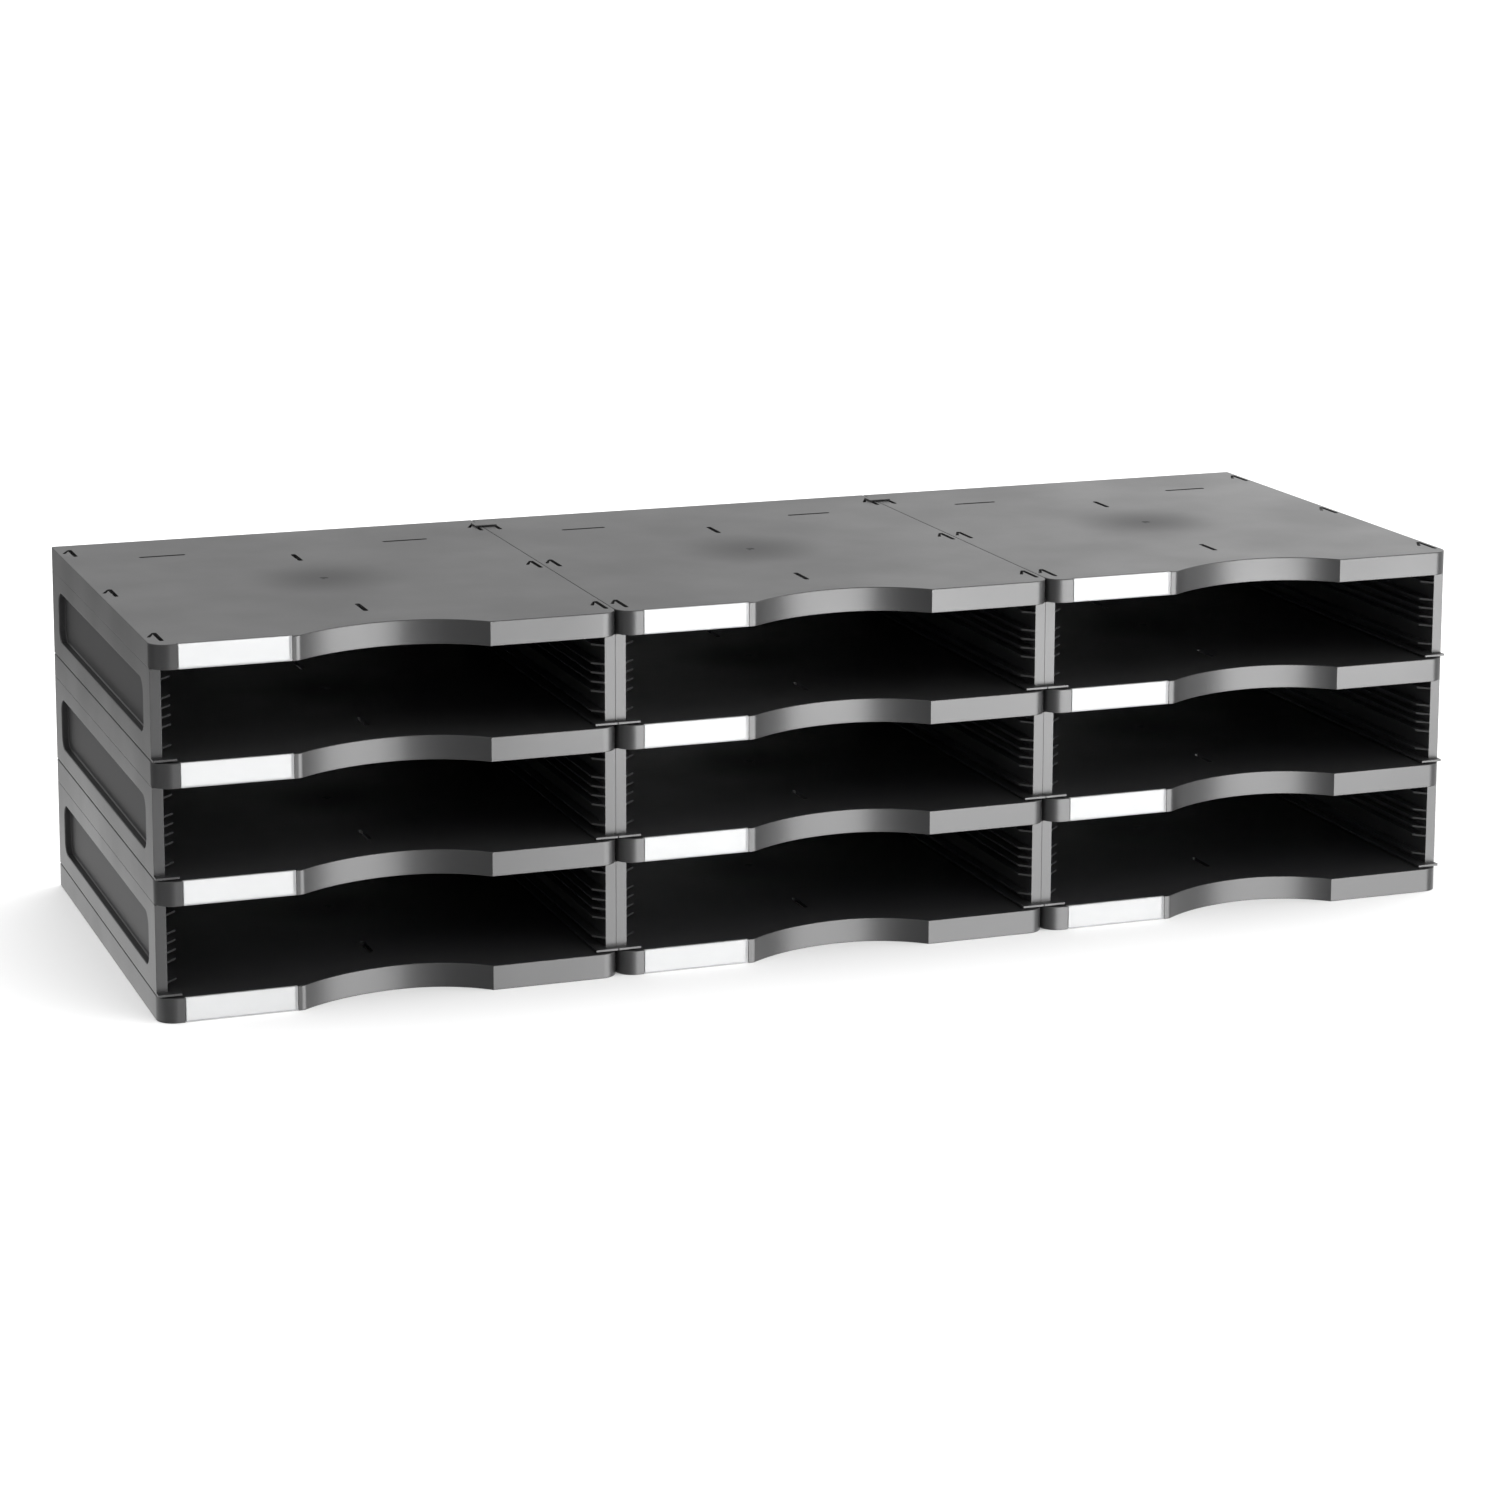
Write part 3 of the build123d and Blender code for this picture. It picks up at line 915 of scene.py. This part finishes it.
def add_tenons(bm, sizes, plate, hand):
    """The tenons under a wall that go into the hook slots of the plate below."""
    tenon_edge = sizes.edge_radius * 0.5
    x = LEFT + (plate.left_slot if hand == "left" else plate.right_slot)
    half_width = plate.slot_width / 2 - sizes.tenon_clearance
    half_length = plate.slot_length / 2 - sizes.tenon_clearance
    bottom = WALL_LOW.z - FLOOR_ZS["lower"]
    top = sizes.foot_gap + sizes.edge_radius
    for y in hook_places(plate):
        low = (x - half_width, y - half_length, bottom)
        high = (x + half_width, y + half_length, top)
        add_block(bm, low, high, tenon_edge)


def wall_mesh(sizes, plate, hand, plastic, tree):
    """One side wall standing on z = 0, on the left of the compartment or mirrored to its right."""
    bm = new_shell()
    edge = sizes.edge_radius
    corner, sunk = edge * 2.5, edge * 3
    outer = WALL_LOW.x
    inner = outer + sizes.thickness
    front, back = FRONT + sizes.setback, WALL_HIGH.y
    guide_end = BACK_LOW.y - sizes.guide_end_gap
    outline = rounded_rectangle((front, sizes.foot_gap), (back, MOUTH_HEIGHT), corner)
    field = rounded_rectangle(
        (front + sizes.front_frame, sizes.bottom_frame),
        (back - sizes.back_frame, MOUTH_HEIGHT - sizes.top_frame),
        sizes.panel_radius,
        steps=8,
    )
    add_framed_panel(bm, outline, field, inner, outer, sizes.recess, edge, sizes.rim_radius, in_side)
    add_ledges(bm, sizes, inner, front, guide_end, plastic, tree)
    add_foot(bm, sizes, inner, front, guide_end)

    tongue_end = front + sizes.tongue_inset
    tongue_low = (LEFT + plate.skirt_wall + sizes.tongue_gap, tongue_end, MOUTH_HEIGHT - sunk)
    add_block(bm, tongue_low, (inner, -tongue_end, WALL_HIGH.z - FLOOR_ZS["lower"]), edge)
    rib_start = BACK_HIGH.y + sizes.guide_end_gap
    rib_high = (inner + sizes.back_rib_reach, rib_start + sizes.back_rib, MOUTH_HEIGHT)
    add_block(bm, (inner - edge, rib_start, sizes.foot_gap), rib_high, edge)
    add_tenons(bm, sizes, plate, hand)
    if hand == "right":
        bmesh.ops.transform(bm, matrix=Matrix.Scale(-1, 4, (1, 0, 0)), verts=bm.verts)
        bmesh.ops.reverse_faces(bm, faces=bm.faces)
    return finished_mesh(bm, f"side_wall_{hand}")


def back_mesh(sizes):
    """One back panel standing on z = 0."""
    bm = new_shell()
    base = FLOOR_ZS["lower"]
    outline = rounded_rectangle((BACK_LOW.x, 0), (BACK_HIGH.x, BACK_HIGH.z - base), sizes.edge_radius * 2)
    field = rounded_rectangle(
        (BACK_LOW.x + sizes.back_field_side, sizes.back_field_edge),
        (BACK_HIGH.x - sizes.back_field_side, MOUTH_HEIGHT - sizes.back_field_edge),
        sizes.back_field_radius,
        steps=6,
    )
    depth = sizes.back_field_depth
    edge = min(sizes.edge_radius, depth / 2)
    add_framed_panel(bm, outline, field, -BACK_LOW.y, -BACK_HIGH.y, depth, edge, edge, in_front)
    return finished_mesh(bm, "back_panel")


def window_mesh(sizes):
    """One clear label window at the bottom level of the middle column, with its pocket open at the top."""
    bm = new_shell()
    edge = sizes.edge_radius
    left = CARD_LOW.x - sizes.card_play
    low = Vector((left - sizes.left_wall, *WINDOW_LOW.yz))
    high = WINDOW_HIGH
    top = SKIRT_HEIGHT - sizes.clearance
    outline = rounded_rectangle(low[:2], high[:2], edge * 2)
    rim, bottom = add_ring(bm, outline, rounded_sides(edge, top, low.z), in_plan)
    pocket_low = (left, low.y + sizes.sheet)
    pocket_high = (high.x - sizes.right_wall, high.y - sizes.sheet)
    pocket = rounded_rectangle(pocket_low, pocket_high, edge)[::-1]
    pocket_steps = edge_steps(edge, top, low.z, count=2) + [(0.0, low.z + sizes.floor, 0.0)]
    pocket_rim, pocket_floor = add_ring(bm, pocket, pocket_steps, in_plan)
    add_cap(bm, UP, rim, pocket_rim)
    add_cap(bm, UP, pocket_floor)
    add_cap(bm, -UP, bottom)
    return finished_mesh(bm, "label_window")


def card_mesh(sizes):
    """One label card at the bottom level of the middle column."""
    bm = new_shell()
    low, high = CARD_LOW, CARD_HIGH
    right = WINDOW_HIGH.x - sizes.right_wall - sizes.card_play
    outline = rounded_rectangle((low.x, low.z), (right, high.z), sizes.card_corner)
    near, far = add_ring(bm, outline, [(0.0, -low.y, 0.0), (0.0, -high.y, 0.0)], in_front)
    towards = Vector((0, -1, 0))
    add_cap(bm, towards, near)
    add_cap(bm, -towards, far)
    return finished_mesh(bm, "label_card")


def clip_mesh(sizes, seam):
    """One link clip where the frame has it."""
    bm = new_shell()
    low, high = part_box(f"{seam}_seam_link_clip")
    edge = sizes.clip_bridge * 0.3
    under = high.z - sizes.clip_bridge
    add_block(bm, (low.x, low.y, under), high, edge)
    for start in (low.x, high.x - sizes.clip_leg):
        add_block(bm, (start, low.y, low.z), (start + sizes.clip_leg, high.y, under + edge), edge)
    return finished_mesh(bm, f"link_clip_{seam}")


def grid(heights):
    """Every place in the row: (column, level or tier, x, z)."""
    return [(column, row, x, z) for column, x in COLUMN_XS.items() for row, z in heights.items()]


class ORGANIZER_OT_shelf_plates(bpy.types.Operator):
    """Make the shelf plates of every column and level"""

    bl_idname = "organizer.shelf_plates"
    bl_label = "Shelf plates"
    bl_options = {"REGISTER", "UNDO"}

    def execute(self, context):
        scene = context.scene
        plastic = finish_named("moulded_plastic", moulded_plastic)
        mesh = plate_mesh(scene.organizer_plate)
        for column, level, x, z in grid(LEVEL_ZS):
            name = f"shelf_{column}_{level}"
            node = f"{column}_{level}_plate"
            add_piece(name, moved_copy(mesh, name, x, z), plastic, BODY, "body_plastic", node)
        return {"FINISHED"}


class ORGANIZER_OT_side_walls(bpy.types.Operator):
    """Make the side walls with their sunk panels and guide ledges"""

    bl_idname = "organizer.side_walls"
    bl_label = "Side walls"
    bl_options = {"REGISTER", "UNDO"}

    def execute(self, context):
        scene = context.scene
        plastic = finish_named("moulded_plastic", moulded_plastic)
        tree = ledge_tree()
        sizes = scene.organizer_wall
        for hand, outwards in zip(HANDS, (-1, 1)):
            mesh = wall_mesh(sizes, scene.organizer_plate, hand, plastic, tree)
            for column, tier, middle, z in grid(FLOOR_ZS):
                x = middle if column == hand else middle + outwards * sizes.seam_lean
                name = f"wall_{column}_{tier}_{hand}"
                node = f"{column}_{tier}_wall_{hand}"
                add_piece(name, moved_copy(mesh, name, x, z), plastic, BODY, "body_plastic", node)
        return {"FINISHED"}


class ORGANIZER_OT_back_panels(bpy.types.Operator):
    """Make the back panels with their sunk fields"""

    bl_idname = "organizer.back_panels"
    bl_label = "Back panels"
    bl_options = {"REGISTER", "UNDO"}

    def execute(self, context):
        scene = context.scene
        plastic = finish_named("moulded_plastic", moulded_plastic)
        mesh = back_mesh(scene.organizer_wall)
        for column, tier, x, z in grid(FLOOR_ZS):
            name = f"back_{column}_{tier}"
            node = f"{column}_{tier}_back_panel"
            add_piece(name, moved_copy(mesh, name, x, z), plastic, BODY, "body_plastic", node)
        return {"FINISHED"}


class ORGANIZER_OT_label_windows(bpy.types.Operator):
    """Make the stacks of clear label windows"""

    bl_idname = "organizer.label_windows"
    bl_label = "Label windows"
    bl_options = {"REGISTER", "UNDO"}

    def execute(self, context):
        scene = context.scene
        clear = finish_named("clear_plastic", clear_plastic)
        mesh = window_mesh(scene.organizer_label)
        stack = grown(mesh, stack_tree(), levels=len(LEVELS), pitch=LEVEL_PITCH, material=clear)
        for column, x in COLUMN_XS.items():
            name = f"windows_{column}"
            node = f"{column}_label_windows"
            add_piece(name, moved_copy(stack, name, x, 0), clear, BODY, "clear_plastic", node)
        return {"FINISHED"}


class ORGANIZER_OT_label_cards(bpy.types.Operator):
    """Make the blank label cards, each on its own body"""

    bl_idname = "organizer.label_cards"
    bl_label = "Label cards"
    bl_options = {"REGISTER", "UNDO"}

    def execute(self, context):
        scene = context.scene
        paper = finish_named("card_stock", card_stock)
        mesh = card_mesh(scene.organizer_label)
        for column, level, x, z in grid(LEVEL_ZS):
            name = f"card_{column}_{level}"
            body = f"{column}_{level}_label"
            node = f"{column}_{level}_label_card"
            add_piece(name, moved_copy(mesh, name, x, z), paper, body, "card_paper", node)
        return {"FINISHED"}


class ORGANIZER_OT_link_clips(bpy.types.Operator):
    """Make the clips that link the columns"""

    bl_idname = "organizer.link_clips"
    bl_label = "Link clips"
    bl_options = {"REGISTER", "UNDO"}

    def execute(self, context):
        scene = context.scene
        plastic = finish_named("moulded_plastic", moulded_plastic)
        for seam in SEAMS:
            mesh = clip_mesh(scene.organizer_label, seam)
            add_piece(f"clip_{seam}", mesh, plastic, BODY, "body_plastic", f"{seam}_seam_link_clip")
        return {"FINISHED"}


# Stage


def floor_paper(look):
    """Pale matte floor with the faintest mottle."""
    material, tree, shader, place = new_material("floor_paper")
    mottle = noise(tree, place, scale=3.0)
    tone = mixed(tree, mottle, shaded(look.floor, 0.985), look.floor)
    wire(tree, (tone, "Result", shader, "Base Color"))
    shader.inputs["Roughness"].default_value = 1.0
    shader.inputs["Specular IOR Level"].default_value = 0.0
    return material


def add_floor(look):
    """A wide pale floor that the part stands on and that curves up all round. The gloss doesn't show it."""
    reach, cove, height, sides = 20.0, 4.0, 6.0, 64
    profile = arc((reach, cove), cove, -90, 0, steps=8) + [Vector((reach + cove, height))]
    turns = [math.tau * side / sides for side in range(sides)]
    bm = bmesh.new()
    rings = []
    for out, up in profile:
        points = [(out * math.cos(turn), out * math.sin(turn), up) for turn in turns]
        rings.append([bm.verts.new(point) for point in points])
    bm.faces.new(rings[0])
    for low, high in zip(rings, rings[1:]):
        for side in range(sides):
            bm.faces.new((low[side - 1], high[side - 1], high[side], low[side]))
    mesh = bpy.data.meshes.new("floor")
    bm.to_mesh(mesh)
    bm.free()
    mesh.materials.append(floor_paper(look))
    floor = bpy.data.objects.new("floor", mesh)
    floor.visible_glossy = False
    bpy.context.scene.collection.objects.link(floor)


def add_overhead(strength):
    """A wide soft light overhead that lights the floor evenly and isn't seen in the gloss."""
    light = bpy.data.lights.new("overhead", "SUN")
    light.energy = strength
    light.angle = math.radians(120)
    lamp = bpy.data.objects.new("overhead", light)
    lamp.visible_glossy = False
    bpy.context.scene.collection.objects.link(lamp)


def add_card(name, corners, axis, start, end):
    """A card that shows only in gloss. Start and end are (place along the axis, brightness)."""
    material = bpy.data.materials.new(name)
    material.use_nodes = True
    tree = material.node_tree
    tree.nodes.clear()
    glow = tree.nodes.new("ShaderNodeEmission")
    output = tree.nodes.new("ShaderNodeOutputMaterial")
    place = tree.nodes.new("ShaderNodeTexCoord")
    split = tree.nodes.new("ShaderNodeSeparateXYZ")
    (start_place, start_glow), (end_place, end_glow) = start, end
    fall = ranged(tree, split, start_glow, end_glow, start_place, end_place, axis)
    wire(
        tree,
        (place, "Object", split, "Vector"),
        (fall, "Result", glow, "Strength"),
        (glow, "Emission", output, "Surface"),
    )
    mesh = bpy.data.meshes.new(name)
    mesh.from_pydata(corners, [], [range(len(corners))])
    mesh.materials.append(material)
    material.cycles.emission_sampling = "NONE"
    card = bpy.data.objects.new(name, mesh)
    card.visible_camera = False
    card.visible_diffuse = False
    card.visible_transmission = False
    card.visible_shadow = False
    bpy.context.scene.collection.objects.link(card)


def upright(left, right, bottom=-0.7, top=0.22):
    """Corners of an upright card over a line in plan. It ends below the part's top, which never shows it."""
    return [(*left, bottom), (*right, bottom), (*right, top), (*left, top)]


def add_front_panel(glow):
    """A bright panel in front of the part, dimmer at its foot, and a dim one that fades out on its left."""
    fade_left, left, right = (-1.60, -1.22), (-0.05, -0.96), (1.05, -0.77)
    foot, head = (-0.1, glow * 0.70), (0.1, glow * 1.35)
    add_card("front_panel", upright(left, right), "Z", foot, head)
    dark_end, light_end = (-0.70, glow * 0.06), (-0.05, glow * 0.2)
    add_card("panel_fade", upright(fade_left, left), "X", dark_end, light_end)


def add_side_card(glow):
    """A flat card on the part's left, bright beside the part and dim farther out."""
    reach, bright_width, dim_width = 2.5, 0.12, 0.20
    near, far = -ROW_HALF, -ROW_HALF - reach
    corners = [(near, FRONT, 0), (far, FRONT, 0), (far, reach, 0), (near, reach, 0)]
    add_card("side_card", corners, "X", (near - dim_width, glow * 0.2), (near - bright_width, glow))


def add_shade_below(inset=0.03):
    """A black card under the part, seen only in gloss: painted shade that keeps the slits dark."""
    low, high = (inset - ROW_HALF, FRONT + inset), (ROW_HALF - inset, REAR - inset)
    corners = [(*corner, 0) for corner in rounded_rectangle(low, high, inset)]
    # Zero glow: a painted shade card, not a lamp, that the gloss sees under the part
    add_card("shade_below", corners, "X", (0, 0), (1, 0))


def add_surround(look):
    """A white surround that brightens from left to right in two steps."""
    world = bpy.data.worlds.new("surround")
    world.use_nodes = True
    tree = world.node_tree
    background = tree.nodes["Background"]
    background.inputs["Color"].default_value = (1, 1, 1, 1)
    place = tree.nodes.new("ShaderNodeTexCoord")
    split = tree.nodes.new("ShaderNodeSeparateXYZ")
    wire(tree, (place, "Generated", split, "Vector"))
    left, back, right = look.left_surround, look.back_surround, look.right_surround
    first_rise = ranged(tree, split, low=left, high=back, start=-0.1, end=0.17)
    second_rise = ranged(tree, split, low=0.0, high=right - back, start=0.33, end=0.44)
    total = add_node(tree, "ShaderNodeMath", operation="ADD")
    wire(
        tree,
        (first_rise, "Result", total, 0),
        (second_rise, "Result", total, 1),
        (total, 0, background, "Strength"),
    )
    world.cycles.sampling_method = "NONE"
    bpy.context.scene.world = world


def add_camera(look):
    """The camera at the photograph's viewing angle."""
    data = bpy.data.cameras.new("camera")
    data.lens = look.camera_lens
    data.shift_y = look.camera_shift
    data.sensor_width = 36.0
    data.clip_end = 100.0
    camera = bpy.data.objects.new("camera", data)
    camera.location = look.camera_place
    aim = Vector(look.camera_aim).to_track_quat("-Z", "Y").to_matrix()
    camera.rotation_euler = (aim @ Matrix.Rotation(look.camera_roll, 3, "Z")).to_euler()
    bpy.context.scene.collection.objects.link(camera)
    bpy.context.scene.camera = camera


class ORGANIZER_OT_stage(bpy.types.Operator):
    """Make the pale floor, the soft light and the camera"""

    bl_idname = "organizer.stage"
    bl_label = "Stage"
    bl_options = {"REGISTER", "UNDO"}

    def execute(self, context):
        scene = context.scene
        look = scene.organizer_stage
        scene.view_settings.view_transform = "Standard"
        add_surround(look)
        add_floor(look)
        add_overhead(look.overhead)
        add_front_panel(look.front_glow)
        add_side_card(look.side_glow)
        add_shade_below()
        add_camera(look)
        return {"FINISHED"}


class ORGANIZER_PT_sidebar(bpy.types.Panel):
    """Lists the organizer's operators"""

    bl_idname = "ORGANIZER_PT_sidebar"
    bl_label = "Organizer"
    bl_category = "Organizer"
    bl_space_type = "VIEW_3D"
    bl_region_type = "UI"

    def draw(self, context):
        for operator in PIECE_OPERATORS:
            self.layout.operator(operator.bl_idname)


PIECE_OPERATORS = (
    ORGANIZER_OT_shelf_plates,
    ORGANIZER_OT_side_walls,
    ORGANIZER_OT_back_panels,
    ORGANIZER_OT_label_windows,
    ORGANIZER_OT_label_cards,
    ORGANIZER_OT_link_clips,
    ORGANIZER_OT_stage,
)
SETTINGS = {
    "organizer_plate": PlateSizes,
    "organizer_wall": WallSizes,
    "organizer_label": LabelSizes,
    "organizer_finish": FinishLook,
    "organizer_stage": StageLook,
}


def register():
    for settings in SETTINGS.values():
        bpy.utils.register_class(settings)
    for name, settings in SETTINGS.items():
        setattr(bpy.types.Scene, name, PointerProperty(type=settings))
    for operator in PIECE_OPERATORS:
        bpy.utils.register_class(operator)
    bpy.utils.register_class(ORGANIZER_PT_sidebar)


def unregister():
    bpy.utils.unregister_class(ORGANIZER_PT_sidebar)
    for operator in reversed(PIECE_OPERATORS):
        bpy.utils.unregister_class(operator)
    for name, settings in SETTINGS.items():
        delattr(bpy.types.Scene, name)
        bpy.utils.unregister_class(settings)


def main():
    register()
    bpy.ops.organizer.shelf_plates()
    bpy.ops.organizer.side_walls()
    bpy.ops.organizer.back_panels()
    bpy.ops.organizer.label_windows()
    bpy.ops.organizer.label_cards()
    bpy.ops.organizer.link_clips()
    bpy.ops.organizer.stage()


if __name__ == "__main__":
    main()
